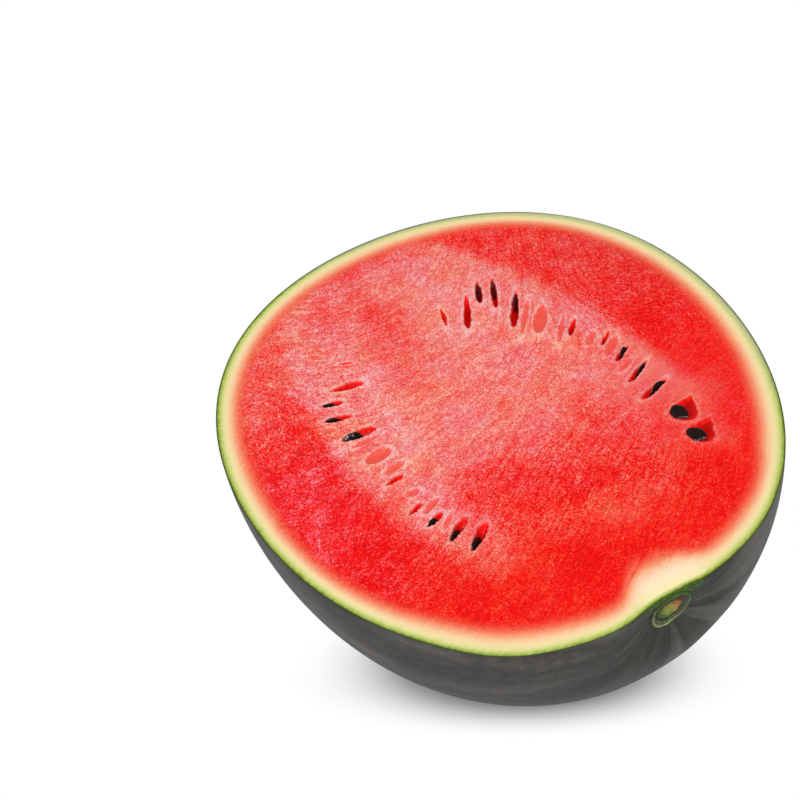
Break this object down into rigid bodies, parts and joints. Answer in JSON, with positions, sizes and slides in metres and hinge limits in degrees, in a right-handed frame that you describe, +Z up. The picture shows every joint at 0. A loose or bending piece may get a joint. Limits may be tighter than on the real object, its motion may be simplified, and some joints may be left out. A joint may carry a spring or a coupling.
{
  "type": "watermelon half",
  "caption": "Half of a dark-skinned seeded watermelon cut along its length, lying on its skin with the flesh up and the stem scar at one end.",
  "frame": {"origin": "middle of the bounding box's bottom, on the surface that the half rests on", "axes": "+Z up, the cut face level on top; the stem end towards -Y and the blossom end towards +Y"},
  "size_m": [0.24, 0.2752, 0.1189],
  "materials": {
    "flesh": "moist granular red flesh, paler pink at the heart, with a cream to green rind round it",
    "skin": "dark charcoal-green skin with a waxy grey bloom and faint darker veins",
    "seed": "wet, glossy black-brown",
    "stem_scar": "dry, corky tan-green lip round an orange-olive core"
  },
  "bodies": {
    "root": {"watermelon_half": "flesh"}
  },
  "joints": []
}
